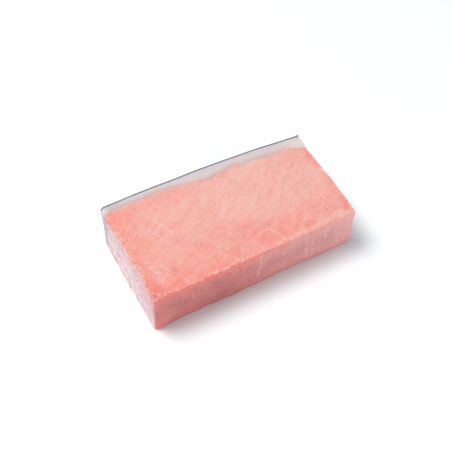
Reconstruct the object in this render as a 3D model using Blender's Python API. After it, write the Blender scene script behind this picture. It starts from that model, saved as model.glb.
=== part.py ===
"""Uncut block of fatty bluefin tuna belly for sashimi, with the skin left on along one long side.

The block lies on its lower cut face. +X runs along its length, +Y toward the skin and +Z up, with the
origin at the middle of its footprint. Three layers run through it from end to end: the marbled flesh,
the white fat under the skin and the thin skin itself. Each layer starts as a straight box, whose
edges are rounded before it is bent to the curved and slightly torn faces of the block.
"""

import bmesh
import bpy
import numpy as np
from mathutils import Vector

# Sizes of the block, in millimetres
LENGTH = 165.0
HEIGHT = 38.5
SKIN_THICKNESS = 0.9
LAYER_GAP = 0.3
SKIN_FOOT = 0.6
MM = 0.001

# Long faces, seen from above: the skin side swings in toward the right end, and the front face steps
# in where the knife was set down again. Stations are (x, y) in millimetres.
SKIN_LINE = 46.85
SKIN_SWING, SWING_START = 4.6, -12.0
SKIN_TAPER, TAPER_START = 0.6, -45.0
SKIN_CORNER, CORNER_START = 2.2, -78.5
FRONT_TOP = ((-82, -46.4), (-45, -45.8), (-34, -45.0), (20, -44.1), (60, -43.1), (82, -42.9))
FRONT_FOOT = ((-82, -44.6), (-42, -43.0), (-29, -43.4), (40, -41.2), (82, -40.9))

# Skin side, seen from the end: the top lip leans out over a nearly upright face
LIP, LIP_POWER = 2.2, 5

# Thickness of the white fat at the top face, with two small steps in it: (x, thickness)
FAT_THICKNESS = (
    (-83, 6.0), (-79, 7.0), (-72, 6.3), (-56, 6.55), (-40, 5.9), (-33, 6.7), (-12, 9.0), (3, 11.3),
    (9, 9.5), (23, 8.5), (31, 10.5), (34.5, 9.8), (48, 10.7), (60, 9.9), (70, 10.0), (82, 13.1),
)
FAT_LEAN = 1.5

# End faces: both are wavy along their top edges, as (y, x), and the right one leans in and curls under
# at its foot
LEFT_TOP = (
    (-46, -82.2), (-34, -81.1), (-22, -80.2), (-9, -81.9), (1, -81.1), (20, -81.7), (30, -81.5),
    (38, -82.2), (46, -82.4),
)
LEFT_FOOT, LEFT_FOOT_CORNER = -82.6, 1.5
RIGHT_TOP = (
    (-46, 81.0), (-40, 82.7), (-28, 83.3), (-14, 83.1), (2, 82.6), (14, 82.0), (27, 81.9), (36, 82.5),
    (44, 82.2),
)
RIGHT_UNDERCUT, RIGHT_CURL, CURL_HEIGHT = 1.1, 1.4, 9.0

# Small tears and flaps at the corners
LEFT_FLARE, RIGHT_FLARE, CORNER_SPUR = 0.4, 0.9, 0.5
SKIN_TIP_RISE, SKIN_PROUD = 0.8, 0.15
FOOT_FLAP = 0.8

# Edge rounding: the front edge of the top is worn, most of all toward the right end
CUT_RADIUS = 0.8
WORN_RADIUS = 1.6
LEFT_WEAR = 0.45
LAYER_RADIUS = 0.3
SURFACE_RELIEF = 0.22

# Spacing of the facets: distances from an edge, and how many even steps lie between them
EDGE_STEPS = (0.35, 1.0, 2.2)
STEPS_ALONG, STEPS_ACROSS, STEPS_UP = 36, 17, 6

# Base colours (linear) and roughness of the three finishes
FLESH_COLOUR, FLESH_ROUGHNESS = (0.88, 0.45, 0.38, 1.0), 0.42
FAT_COLOUR, FAT_ROUGHNESS = (0.76, 0.62, 0.60, 1.0), 0.40
SKIN_COLOUR, SKIN_ROUGHNESS = (0.10, 0.11, 0.14, 1.0), 0.28


def eased(x, stations):
    """Height at x of the line that runs level through each station and eases from one to the next."""
    at, value = np.array(stations, float).T
    i = np.clip(np.searchsorted(at, x, side="right") - 1, 0, len(at) - 2)
    t = np.clip((x - at[i]) / (at[i + 1] - at[i]), 0, 1)
    return value[i] + (value[i + 1] - value[i]) * t * t * (3 - 2 * t)


def bump(x, centre, width):
    """Bell of height one about the centre."""
    return np.exp(-(((x - centre) / width) ** 2))


def ripple(a, b, pitch):
    """Gentle unevenness between -1 and 1 over a face, as three crossing waves."""
    turn = 2 * np.pi / pitch
    return (
        np.sin(turn * (a + 0.3 * b))
        + 0.6 * np.sin(turn * (1.7 * a - 0.8 * b) + 1.7)
        + 0.4 * np.sin(turn * (0.9 * a + 2.3 * b) + 4.1)
    ) / 2


def lifted(z):
    """Share of the height, 0 at the foot and 1 at the top face."""
    return np.clip(z / HEIGHT, 0, 1)


def skin_face(x, z):
    """Outer face of the skin, as y."""
    swing = SKIN_SWING * np.clip((x - SWING_START) / (LENGTH / 2 - SWING_START), 0, 1) ** 2
    taper = SKIN_TAPER * np.clip((TAPER_START - x) / (TAPER_START - CORNER_START), 0, 1) ** 2
    corner = SKIN_CORNER * np.clip((CORNER_START - x) / (CORNER_START + LENGTH / 2), 0, 1) ** 2
    return SKIN_LINE - swing - taper - corner - LIP * (1 - lifted(z) ** LIP_POWER)


def fat_face(x, z):
    """Face where the white fat meets the flesh, as y."""
    top = skin_face(x, np.full_like(z, HEIGHT)) - eased(x, FAT_THICKNESS)
    return top - FAT_LEAN * (1 - lifted(z))


def front_face(x, z):
    """Front cut face, as y, with a flare at each top corner."""
    share = lifted(z)
    face = eased(x, FRONT_FOOT) * (1 - share) + eased(x, FRONT_TOP) * share
    left = LEFT_FLARE * bump(x, -LENGTH / 2, 4) * share**3
    right = RIGHT_FLARE * bump(x, LENGTH / 2, 2.5) * share**8
    return face - left - right - SURFACE_RELIEF * ripple(x, z, 27)


def left_face(y, z):
    """Left end, as x: wavy at the top and plainer at the foot, where a small flap stands out."""
    share = lifted(z)
    flap = FOOT_FLAP * bump(y, -2.5, 2) * bump(z, 1, 2)
    foot = LEFT_FOOT + LEFT_FOOT_CORNER * bump(y, -47, 4) - flap
    return eased(y, LEFT_TOP) * share + foot * (1 - share) - SURFACE_RELIEF * ripple(y, z, 23)


def right_face(y, z):
    """Right end, as x, hollowed where the fat meets the flesh and with a spur at its front corner."""
    share = lifted(z)
    spur = CORNER_SPUR * bump(y, -43.8, 1.0) * share**12
    curl = RIGHT_CURL * np.clip(1 - z / CURL_HEIGHT, 0, 1) ** 2
    face = eased(y, RIGHT_TOP) + spur - RIGHT_UNDERCUT * (1 - share) - curl
    return face + SURFACE_RELIEF * ripple(y, z, 21)


def edge_radius(points, worn):
    """Radius at each point: small between layers, more at the cut edges, most at the worn front edge."""
    if not worn:
        return np.full(len(points), LAYER_RADIUS)
    x, y, z = points.T
    front = np.clip(0.5 - y / 20, 0, 1)
    wear = LEFT_WEAR + (1 - LEFT_WEAR) * np.clip((x + 20) / 70, 0, 1)
    wear = wear * np.clip((78 - np.abs(x)) / 6, 0, 1) * (z > HEIGHT / 2)
    return LAYER_RADIUS + front * (CUT_RADIUS - LAYER_RADIUS + wear * (WORN_RADIUS - CUT_RADIUS))


def rounded(points, low, high, worn):
    """Points of a straight box moved onto the same box with rounded edges."""
    radius = edge_radius(points, worn)[:, None]
    core = np.clip(points, low + radius, high - radius)
    out = points - core
    reach = np.linalg.norm(out, axis=1, keepdims=True)
    return core + out * np.where(reach > radius, radius / np.maximum(reach, radius), 1)


def stations_between(low, high, steps, edges):
    """Where a box is cut across: close to both its ends, and evenly between them."""
    near = [low + e for e in edges]
    far = [high - e for e in edges]
    even = np.linspace(near[-1] if near else low, far[-1] if far else high, steps + 1)[1:-1]
    return sorted([*near, *even, *far])


def straight_box(low, high, cuts):
    """Closed box from low to high, cut across by planes at the stations of each axis."""
    mesh = bmesh.new()
    bmesh.ops.create_cube(mesh, size=1)
    centre = (Vector(low) + Vector(high)) / 2
    for vert in mesh.verts:
        vert.co = centre + vert.co * (Vector(high) - Vector(low))
    for axis, stations in enumerate(cuts):
        across = Vector([float(i == axis) for i in range(3)])
        for station in stations:
            geometry = mesh.verts[:] + mesh.edges[:] + mesh.faces[:]
            bmesh.ops.bisect_plane(mesh, geom=geometry, plane_co=across * station, plane_no=across)
    return mesh


def bent(points, low, high, near_face, far_face):
    """Points of a straight box bent to the faces of the block."""
    x, y, z = points.T
    share = (y - low[1]) / (high[1] - low[1])
    y = near_face(x, z) * (1 - share) + far_face(x, z) * share
    share = x / LENGTH + 0.5
    x = left_face(y, z) * (1 - share) + right_face(y, z) * share
    z = z + SURFACE_RELIEF * ripple(x, y, 46) * lifted(z) ** 2
    return np.stack([x, y, z], axis=1)


def finish(name, colour, roughness):
    """Material for one layer."""
    material = bpy.data.materials.new(name)
    material.use_nodes = True
    shader = material.node_tree.nodes["Principled BSDF"]
    shader.inputs["Base Color"].default_value = colour
    shader.inputs["Roughness"].default_value = roughness
    material.diffuse_color = colour
    return material


def layer(name, material, width, foot, near_face, far_face, steps_across, edges_across, worn):
    """One layer of the block as a closed mesh object."""
    low = np.array([-LENGTH / 2, -width / 2, foot])
    high = np.array([LENGTH / 2, width / 2, HEIGHT])
    cuts = (
        stations_between(low[0], high[0], STEPS_ALONG, EDGE_STEPS),
        stations_between(low[1], high[1], steps_across, edges_across),
        [z for z in stations_between(0, HEIGHT, STEPS_UP, EDGE_STEPS) if z > foot],
    )
    box = straight_box(low, high, cuts)
    points = np.array([vert.co[:] for vert in box.verts])
    points = bent(rounded(points, low, high, worn), low, high, near_face, far_face)
    for vert, point in zip(box.verts, points):
        vert.co = point * MM
    bmesh.ops.recalc_face_normals(box, faces=box.faces[:])
    mesh = bpy.data.meshes.new(name)
    box.to_mesh(mesh)
    box.free()
    mesh.materials.append(material)
    mesh.polygons.foreach_set("use_smooth", [True] * len(mesh.polygons))
    piece = bpy.data.objects.new(name, mesh)
    bpy.context.collection.objects.link(piece)
    return piece


def raise_skin(piece):
    """Stands the top edge of the skin a little proud along its lip, and turns its tip up at the right end."""
    for vert in piece.data.vertices:
        x, z = vert.co.x / MM, vert.co.z / MM
        rise = (SKIN_PROUD + SKIN_TIP_RISE * bump(x, LENGTH / 2, 2)) * lifted(z) ** 30
        vert.co.z += rise * MM
        vert.co.y += rise * LIP * LIP_POWER / HEIGHT * MM


def main():
    for item in list(bpy.data.objects):
        bpy.data.objects.remove(item)
    bpy.context.scene.unit_settings.system = "METRIC"

    layer(
        "flesh_block",
        finish("marbled_flesh", FLESH_COLOUR, FLESH_ROUGHNESS),
        width=78.0,
        foot=0.0,
        near_face=front_face,
        far_face=lambda x, z: fat_face(x, z) - LAYER_GAP / 2,
        steps_across=STEPS_ACROSS,
        edges_across=EDGE_STEPS,
        worn=True,
    )
    layer(
        "fat_layer",
        finish("white_fat", FAT_COLOUR, FAT_ROUGHNESS),
        width=8.0,
        foot=0.0,
        near_face=lambda x, z: fat_face(x, z) + LAYER_GAP / 2,
        far_face=lambda x, z: skin_face(x, z) - SKIN_THICKNESS - LAYER_GAP,
        steps_across=2,
        edges_across=EDGE_STEPS[:1],
        worn=False,
    )
    skin = layer(
        "skin_layer",
        finish("dark_skin", SKIN_COLOUR, SKIN_ROUGHNESS),
        width=SKIN_THICKNESS,
        foot=SKIN_FOOT,
        near_face=lambda x, z: skin_face(x, z) - SKIN_THICKNESS,
        far_face=skin_face,
        steps_across=2,
        edges_across=(),
        worn=False,
    )
    raise_skin(skin)


main()
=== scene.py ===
"""Looks of an uncut, skin-on block of fatty bluefin tuna belly, resting on a plain pale floor.

Sizes in the classes are millimetres. A mesh is turned to metres when it is put into Blender, in the frame
of the CAD model: +X along the block, +Y toward the skin and +Z up from the lower cut face.
"""
import logging
from dataclasses import dataclass, field
from enum import Enum
from functools import cached_property
from itertools import product
from typing import Callable, Sequence

import bpy
import numpy as np
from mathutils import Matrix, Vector


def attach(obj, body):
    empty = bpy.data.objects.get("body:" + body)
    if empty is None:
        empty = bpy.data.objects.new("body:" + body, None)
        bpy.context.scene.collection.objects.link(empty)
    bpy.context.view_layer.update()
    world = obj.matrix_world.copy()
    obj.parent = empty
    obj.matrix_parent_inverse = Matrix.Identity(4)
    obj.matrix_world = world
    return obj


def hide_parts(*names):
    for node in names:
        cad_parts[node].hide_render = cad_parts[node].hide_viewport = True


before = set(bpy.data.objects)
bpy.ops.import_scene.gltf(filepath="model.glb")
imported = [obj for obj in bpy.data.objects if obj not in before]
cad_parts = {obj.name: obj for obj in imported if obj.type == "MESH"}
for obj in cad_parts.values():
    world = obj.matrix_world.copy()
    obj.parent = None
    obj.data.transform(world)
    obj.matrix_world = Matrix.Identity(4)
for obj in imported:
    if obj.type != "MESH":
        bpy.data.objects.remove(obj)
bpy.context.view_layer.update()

MM = 0.001
BODY = "root"
log = logging.getLogger("tuna_block")
Stations = Sequence[tuple[float, float]]
Spots = Sequence[tuple[float, float, float, float, float]]
Strokes = Sequence[tuple[Stations, float, float]]
Socket = bpy.types.NodeSocket


def linear(hex_colour: str) -> tuple[float, float, float, float]:
    """Turns an sRGB hex colour into the linear values that Blender's sockets take.

    Args:
        hex_colour: A colour such as "#F5B8AC".

    Returns:
        Red, green, blue and an alpha of one.
    """
    parts = np.array([int(hex_colour[i:i + 2], 16) for i in (1, 3, 5)]) / 255
    low, high = parts / 12.92, ((parts + 0.055) / 1.055) ** 2.4
    return (*np.where(parts <= 0.04045, low, high).tolist(), 1.0)


def eased(x: np.ndarray, stations: Stations) -> np.ndarray:
    """Follows the stations from value to value, each span eased by 3t^2 - 2t^3.

    Args:
        x: Places to read.
        stations: Pairs of place and value, in rising order of place.

    Returns:
        The value at each place.
    """
    at, value = np.array(stations, float).T
    i = np.clip(np.searchsorted(at, x, side="right") - 1, 0, len(at) - 2)
    t = np.clip((x - at[i]) / (at[i + 1] - at[i]), 0, 1)
    return value[i] + (value[i + 1] - value[i]) * t * t * (3 - 2 * t)


def bump(x: np.ndarray, centre: float, width: float) -> np.ndarray:
    """Bell curve e^-((x - centre) / width)^2."""
    return np.exp(-(((x - centre) / width) ** 2))


def ramp(x: np.ndarray, start: float, end: float) -> np.ndarray:
    """Straight rise from 0 at start to 1 at end, level outside; it falls where end is below start."""
    return np.clip((x - start) / (end - start), 0, 1)


def facing(part: np.ndarray) -> np.ndarray:
    """How far a surface faces one way, 0 to 1, from the part of its unit normal that points there."""
    return ramp(part, 0.35, 0.8)


def ripple(a: np.ndarray, b: np.ndarray, pitch: float) -> np.ndarray:
    """Three crossing sine waves of unequal strength, the longest one pitch long."""
    turn = 2 * np.pi / pitch
    return (np.sin(turn * (a + 0.3 * b)) + 0.6 * np.sin(turn * (1.7 * a - 0.8 * b) + 1.7)
            + 0.4 * np.sin(turn * (0.9 * a + 2.3 * b) + 4.1)) / 2


def lattice_value(cells: np.ndarray, seed: int) -> np.ndarray:
    """Repeatable value of each lattice cell: its whole numbers times large primes, mixed by shifts and xor.

    Args:
        cells: Whole numbers, one row of three for each cell.
        seed: Picks the pattern.

    Returns:
        A value from -1 to 1 for each cell.
    """
    x, y, z = (cells[..., i].astype(np.uint32) for i in range(3))
    mixed = x * np.uint32(0x8DA6B343) ^ y * np.uint32(0xD8163841) ^ z * np.uint32(0xCB1AB31F)
    mixed = mixed ^ np.uint32(seed * 0x9E3779B9 % 2**32)
    for shift, factor in ((15, 0x2C1B3C6D), (12, 0x297A2D39)):
        mixed = (mixed ^ (mixed >> np.uint32(shift))) * np.uint32(factor)
    return (mixed ^ (mixed >> np.uint32(15))) / 2.0**31 - 1


def noise(points: np.ndarray, pitch: float | Sequence[float], seed: int, octaves: int = 1) -> np.ndarray:
    """Smooth value noise: the values of the eight cells around a point, blended by 3t^2 - 2t^3 on each axis.

    Args:
        points: Rows of three coordinates, in mm.
        pitch: Size of a cell in mm, one number or one for each axis.
        seed: Picks the pattern.
        octaves: Layers of noise, each half as coarse and half as strong as the one before.

    Returns:
        About -1 to 1 for each point.
    """
    total, weight = np.zeros(len(points)), 0.0
    for octave in range(octaves):
        place = points / np.asarray(pitch, float) * 2**octave
        cell = np.floor(place).astype(np.int64)
        t = place - cell
        t = t * t * (3 - 2 * t)
        for corner in product((0, 1), repeat=3):
            share = np.prod(np.where(corner, t, 1 - t), axis=1)
            total += share * lattice_value(cell + corner, seed + octave) / 2**octave
        weight += 0.5**octave
    return total / weight


def turned(points: np.ndarray, degrees: np.ndarray | float) -> np.ndarray:
    """Turns x and y by minus the angle, so that x then runs along a grain that lies at that angle."""
    angle = np.radians(degrees)
    x, y, z = points.T
    return np.stack([x * np.cos(angle) + y * np.sin(angle), y * np.cos(angle) - x * np.sin(angle), z], axis=1)


def spotted(u: np.ndarray, v: np.ndarray, spots: Spots) -> np.ndarray:
    """Adds up soft oval patches, each its strength times a bell curve along u and one along v.

    Args:
        u: First coordinate on the face, in mm.
        v: Second coordinate.
        spots: Each patch's middle in u and v, its half sizes in u and v, and its strength.

    Returns:
        The sum at each place.
    """
    return sum(strength * bump(u, mid_u, half_u) * bump(v, mid_v, half_v)
               for mid_u, mid_v, half_u, half_v, strength in spots)


def stroked(places: np.ndarray, strokes: Strokes) -> np.ndarray:
    """Adds up drawn lines, each its strength times a bell curve of the distance to its nearest straight span.

    Args:
        places: Rows of two coordinates on the face, in mm.
        strokes: The corners of each line, half its width and its strength.

    Returns:
        The sum at each place, held within 0 and 1.
    """
    total = np.zeros(len(places))
    for path, width, strength in strokes:
        best = np.full(len(places), np.inf)
        corners = np.array(path, float)
        for start, end in zip(corners[:-1], corners[1:]):
            span = end - start
            t = np.clip((places - start) @ span / (span @ span), 0, 1)
            best = np.minimum(best, np.linalg.norm(places - start - t[:, None] * span, axis=1))
        total += strength * bump(best, 0, width)
    return np.clip(total, 0, 1)


@dataclass(frozen=True)
class BlockForm:
    """Outer form of the block and of the seams between its layers, as in the CAD part."""

    length: float = 165.0
    height: float = 38.5
    skin_thickness: float = 0.9
    skin_line: float = 46.85
    skin_swing: float = 4.6
    swing_start: float = -12.0
    skin_taper: float = 0.6
    taper_start: float = -45.0
    skin_corner: float = 2.2
    corner_start: float = -78.5
    front_top: Stations = ((-82, -46.4), (-45, -45.8), (-34, -45.0), (20, -44.1), (60, -43.1), (82, -42.9))
    front_foot: Stations = ((-82, -44.6), (-42, -43.0), (-29, -43.4), (40, -41.2), (82, -40.9))
    lip: float = 2.2
    lip_power: int = 5
    fat_thickness: Stations = ((-83, 6.0), (-79, 7.0), (-72, 6.3), (-56, 6.55), (-40, 5.9), (-33, 6.7),
                               (-12, 9.0), (3, 11.3), (9, 9.5), (23, 8.5), (31, 10.5), (34.5, 9.8),
                               (48, 10.7), (60, 9.9), (70, 10.0), (82, 13.1))
    left_top: Stations = ((-46, -82.2), (-34, -81.1), (-22, -80.2), (-9, -81.9), (1, -81.1), (20, -81.7),
                          (30, -81.5), (38, -82.2), (46, -82.4))
    right_top: Stations = ((-46, 81.0), (-40, 82.7), (-28, 83.3), (-14, 83.1), (2, 82.6), (14, 82.0),
                           (27, 81.9), (36, 82.5), (44, 82.2))
    fat_lean: float = 1.5
    fat_wave: float = 0.35
    left_flare: float = 0.4
    right_flare: float = 0.9
    left_foot: float = -82.6
    right_spur: float = 0.5
    right_lean: float = 1.1
    right_curl: float = 1.4
    curl_height: float = 9.0
    relief: float = 0.22

    def lifted(self, z: np.ndarray) -> np.ndarray:
        """Height as a share of the block's height."""
        return np.clip(z / self.height, 0, 1)

    def skin_face(self, x: np.ndarray, z: np.ndarray) -> np.ndarray:
        """Outer face of the skin: a line that swings in toward both ends by a square, and in at the foot."""
        swing = self.skin_swing * ramp(x, self.swing_start, self.length / 2) ** 2
        taper = self.skin_taper * ramp(x, self.taper_start, self.corner_start) ** 2
        corner = self.skin_corner * ramp(x, self.corner_start, -self.length / 2) ** 2
        return self.skin_line - swing - taper - corner - self.lip * (1 - self.lifted(z) ** self.lip_power)

    def skin_back(self, x: np.ndarray, z: np.ndarray) -> np.ndarray:
        """Seam between the skin and the fat, one skin thickness in from the outer face."""
        return self.skin_face(x, z) - self.skin_thickness

    def fat_face(self, x: np.ndarray, z: np.ndarray) -> np.ndarray:
        """Seam between fat and flesh: the skin's line less the fat's thickness, leaning in at the foot."""
        top = self.skin_face(x, np.full_like(z, self.height)) - eased(x, self.fat_thickness)
        ragged = noise(np.stack([x, 0 * x, z], axis=1), (3.2, 1, 5.0), 31, 2)
        return top - self.fat_lean * (1 - self.lifted(z)) + self.fat_wave * ragged

    def front_face(self, x: np.ndarray, z: np.ndarray) -> np.ndarray:
        """Front cut face: blends its foot line into its top line and flares at both upper corners."""
        share = self.lifted(z)
        face = eased(x, self.front_foot) * (1 - share) + eased(x, self.front_top) * share
        flare = self.left_flare * bump(x, -self.length / 2, 4) * share**3
        flare = flare + self.right_flare * bump(x, self.length / 2, 2.5) * share**8
        return face - flare - self.relief * ripple(x, z, 27)

    def left_face(self, y: np.ndarray, z: np.ndarray) -> np.ndarray:
        """Left end: a wavy top edge that fades to a straight foot with a small torn flap."""
        share = self.lifted(z)
        foot = self.left_foot + 1.5 * bump(y, -47, 4) - 0.8 * bump(y, -2.5, 2) * bump(z, 1, 2)
        return eased(y, self.left_top) * share + foot * (1 - share) - self.relief * ripple(y, z, 23)

    def right_face(self, y: np.ndarray, z: np.ndarray) -> np.ndarray:
        """Right end: a cut with shallow hollows, a small spur at the front corner and a curled foot."""
        share = self.lifted(z)
        spur = self.right_spur * bump(y, -43.8, 1.0) * share**12
        curl = self.right_curl * np.clip(1 - z / self.curl_height, 0, 1) ** 2
        lean = self.right_lean * (1 - share)
        return eased(y, self.right_top) + spur - lean - curl + self.relief * ripple(y, z, 21)

    def bent(self, points: np.ndarray, width: float, near: Callable, far: Callable) -> np.ndarray:
        """Bends a straight layer so that its four sides follow the faces of the block.

        A point keeps its share of the way from near side to far side, then from left end to right end, and
        rises by a low ripple near the top.

        Args:
            points: The straight layer's points.
            width: Width of the straight layer, which lies evenly on both sides of y = 0.
            near: Face that its near side follows.
            far: Face that its far side follows.

        Returns:
            The bent points.
        """
        x, y, z = points.T
        share = (y + width / 2) / width
        y = near(x, z) * (1 - share) + far(x, z) * share
        share = x / self.length + 0.5
        x = self.left_face(y, z) * (1 - share) + self.right_face(y, z) * share
        z = z + self.relief * ripple(x, y, 46) * self.lifted(z) ** 2
        return np.stack([x, y, z], axis=1)


class Side(Enum):
    """The six sides of a layer: the axis that a side faces along, and which end of it."""

    LEFT = (0, 0)
    RIGHT = (0, 1)
    FRONT = (1, 0)
    BACK = (1, 1)
    FOOT = (2, 0)
    TOP = (2, 1)


@dataclass
class Surface:
    """Closed mesh: points in mm, faces as rows of point numbers, and values that the finish reads."""

    points: np.ndarray
    faces: np.ndarray
    values: dict[str, np.ndarray] = field(default_factory=dict)

    def normals(self) -> np.ndarray:
        """Unit normals: the cross products of the faces' diagonals, added up at each point."""
        p = self.points[self.faces]
        cross = np.cross(p[:, 2] - p[:, 0], p[:, -1] - p[:, 1])
        corner = self.faces.ravel()
        each = np.repeat(cross, self.faces.shape[1], axis=0)
        total = np.stack([np.bincount(corner, each[:, k], len(self.points)) for k in range(3)], axis=1)
        return total / np.maximum(np.linalg.norm(total, axis=1, keepdims=True), 1e-12)

    def carry(self, **values: np.ndarray) -> None:
        """Stores values for the finish by name, each held within 0 and 1."""
        self.values.update((name, np.clip(value, 0, 1)) for name, value in values.items())

    def piece(self, name: str, material: bpy.types.Material) -> bpy.types.Object:
        """Puts the arrays into a smooth-shaded Blender mesh.

        Args:
            name: Name of the new object.
            material: The finish of the whole piece.

        Returns:
            The object, at the origin.
        """
        mesh = bpy.data.meshes.new(name)
        count, corners = self.faces.shape
        mesh.vertices.add(len(self.points))
        mesh.vertices.foreach_set("co", (self.points * MM).ravel())
        mesh.loops.add(count * corners)
        mesh.loops.foreach_set("vertex_index", self.faces.ravel())
        mesh.polygons.add(count)
        mesh.polygons.foreach_set("loop_start", np.arange(count) * corners)
        mesh.update(calc_edges=True)
        mesh.polygons.foreach_set("use_smooth", np.ones(count, bool))
        for key, value in self.values.items():
            mesh.attributes.new(key, "FLOAT", "POINT").data.foreach_set("value", value.astype(np.float32))
        mesh.materials.append(material)
        made = bpy.data.objects.new(name, mesh)
        bpy.context.scene.collection.objects.link(made)
        return made


def joined(parts: Sequence[Surface]) -> Surface:
    """Puts surfaces with equally many corners to a face into one, each keeping its own points."""
    starts = np.cumsum([0] + [len(part.points) for part in parts[:-1]])
    faces = np.concatenate([part.faces + start for part, start in zip(parts, starts)])
    values = {key: np.concatenate([part.values[key] for part in parts]) for key in parts[0].values}
    return Surface(np.concatenate([part.points for part in parts]), faces, values)


def crowded(low: float, high: float, pitch: float, margin: Sequence[float]) -> np.ndarray:
    """Even stations between two ends, with extra ones close to both, where an edge turns.

    Args:
        low: First station.
        high: Last station.
        pitch: Spacing of the even stations.
        margin: Distances of the extra stations from each end, rising from 0.

    Returns:
        All stations in rising order.
    """
    near = np.array(margin)
    count = max(2, round((high - low - 2 * near[-1]) / pitch) + 1)
    inner = np.linspace(low + near[-1], high - near[-1], count)
    return np.concatenate([low + near[:-1], inner, (high - near[:-1])[::-1]])


def box_surface(stations: Sequence[np.ndarray]) -> Surface:
    """Closed skin of a box: six patches, each a two-parameter grid of stations, welded along their edges.

    Args:
        stations: Stations along x, y and z.

    Returns:
        The welded quads, all facing outwards.
    """
    sizes = [len(s) for s in stations]
    patches = []
    for axis, end in (side.value for side in Side):
        a, b = (axis + 1) % 3, (axis + 2) % 3
        i, j = np.meshgrid(np.arange(sizes[a]), np.arange(sizes[b]), indexing="ij")
        cell = [None, None, None]
        cell[axis], cell[a], cell[b] = np.full_like(i, (sizes[axis] - 1) * end), i, j
        key = np.ravel_multi_index(cell, sizes)
        quads = np.stack([key[:-1, :-1], key[1:, :-1], key[1:, 1:], key[:-1, 1:]], axis=-1).reshape(-1, 4)
        patches.append(quads if end else quads[:, ::-1])
    used, faces = np.unique(np.concatenate(patches), return_inverse=True)
    cells = np.unravel_index(used, sizes)
    return Surface(np.stack([s[c] for s, c in zip(stations, cells)], axis=1), faces.reshape(-1, 4))


def straight_layer(form: BlockForm, width: float, pitch: float, margin: Sequence[float]) -> Surface:
    """Box as long and high as the block, with crowded stations along each axis."""
    ends = ((-form.length / 2, form.length / 2), (-width / 2, width / 2), (0, form.height))
    return box_surface([crowded(low, high, pitch, margin) for low, high in ends])


@dataclass(frozen=True)
class Shading:
    """A material while it is made: its principled shader, and the patterns and tints that feed it."""

    material: bpy.types.Material
    shader: bpy.types.Node

    def add(self, kind: str, inputs: dict, output: str | int = 0, **settings: object) -> Socket:
        """Adds one shader node with its settings, values and links.

        Args:
            kind: Blender's name of the node.
            inputs: A value, a hex colour or an output to link, for each input's name or number.
            output: Name or number of the output that is wanted.
            **settings: Properties of the node.

        Returns:
            That output.
        """
        tree = self.material.node_tree
        made = tree.nodes.new(kind)
        for name, value in settings.items():
            setattr(made, name, value)
        for key, value in inputs.items():
            if isinstance(value, Socket):
                tree.links.new(value, made.inputs[key])
            else:
                made.inputs[key].default_value = linear(value) if isinstance(value, str) else value
        return made.outputs[output]

    def value(self, name: str) -> Socket:
        """Output of an attribute that the piece carries on its points."""
        return self.add("ShaderNodeAttribute", {}, "Fac", attribute_name=name)

    def pattern(self, size: Sequence[float], turn: float = 0.0, detail: float = 2.0) -> Socket:
        """Noise in the piece's own space, with cells of a real size.

        Args:
            size: Length, width and height of a cell, in mm.
            turn: How far the cells are turned round z, in degrees.
            detail: Finer layers of the noise.

        Returns:
            The noise, 0 to 1 with its middle at 0.5.
        """
        cell = self.add("ShaderNodeMapping", {
            "Vector": self.add("ShaderNodeTexCoord", {}, "Object"), "Rotation": (0, 0, np.radians(turn)),
            "Scale": [s * MM for s in size]}, vector_type="TEXTURE")
        return self.add("ShaderNodeTexNoise", {
            "Vector": cell, "Scale": 1.0, "Detail": detail, "Roughness": 0.6}, "Fac")

    def spread(self, source: Socket, low: float, high: float, start: float = 0.3, end: float = 0.7) -> Socket:
        """Stretches a pattern from start..end to low..high, level outside."""
        return self.add("ShaderNodeMapRange", {0: source, 1: start, 2: end, 3: low, 4: high})

    def math(self, how: str, *terms: Socket | float, clamp: bool = True) -> Socket:
        """Joins one or two terms by arithmetic, kept within 0 and 1 unless clamp is off."""
        return self.add("ShaderNodeMath", dict(enumerate(terms)), operation=how, use_clamp=clamp)

    def tinted(self, colour: Socket | str, *coats: tuple[Socket | str, str]) -> Socket:
        """Lays tints over a colour, one after another.

        Args:
            colour: Hex colour or output to start from.
            *coats: Each tint's share, as an output or the name of a value of the piece, and its hex colour.

        Returns:
            The colour after the last coat.
        """
        for share, tint in coats:
            share = self.value(share) if isinstance(share, str) else share
            colour = self.add("ShaderNodeMix", {0: share, 6: colour, 7: tint}, 2, data_type="RGBA")
        return colour

    def raised(self, height: Socket, strength: float, depth: float) -> Socket:
        """Normal bent by a height pattern, with its depth in mm."""
        return self.add("ShaderNodeBump", {"Height": height, "Strength": strength, "Distance": depth * MM})

    def fed(self, **sources: Socket) -> bpy.types.Material:
        """Links outputs to the shader's sockets, with underscores for spaces, and gives the material."""
        for name, source in sources.items():
            self.material.node_tree.links.new(source, self.shader.inputs[name.replace("_", " ")])
        return self.material


@dataclass(frozen=True)
class Finish:
    """Base of every finish: its name and the plain values that all of them set."""

    name: str
    roughness: float
    ior: float

    def shading(self, **plain: object) -> Shading:
        """Starts a material whose one principled shader has its plain values set straight on the sockets.

        Args:
            **plain: More values for its sockets, with underscores for the spaces in their names.

        Returns:
            The material, to be fed.
        """
        material = bpy.data.materials.new(self.name)
        material.use_nodes = True
        shader = material.node_tree.nodes["Principled BSDF"]
        for key, value in {"Roughness": self.roughness, "IOR": self.ior, **plain}.items():
            shader.inputs[key.replace("_", " ")].default_value = value
        return Shading(material, shader)

    def scattering(self, weight: float, reach: Sequence[float], scale: float) -> Shading:
        """Starts a material that light enters, with its reach in red, green and blue and its scale in mm."""
        return self.shading(Subsurface_Weight=weight, Subsurface_Radius=reach, Subsurface_Scale=scale * MM)


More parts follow.
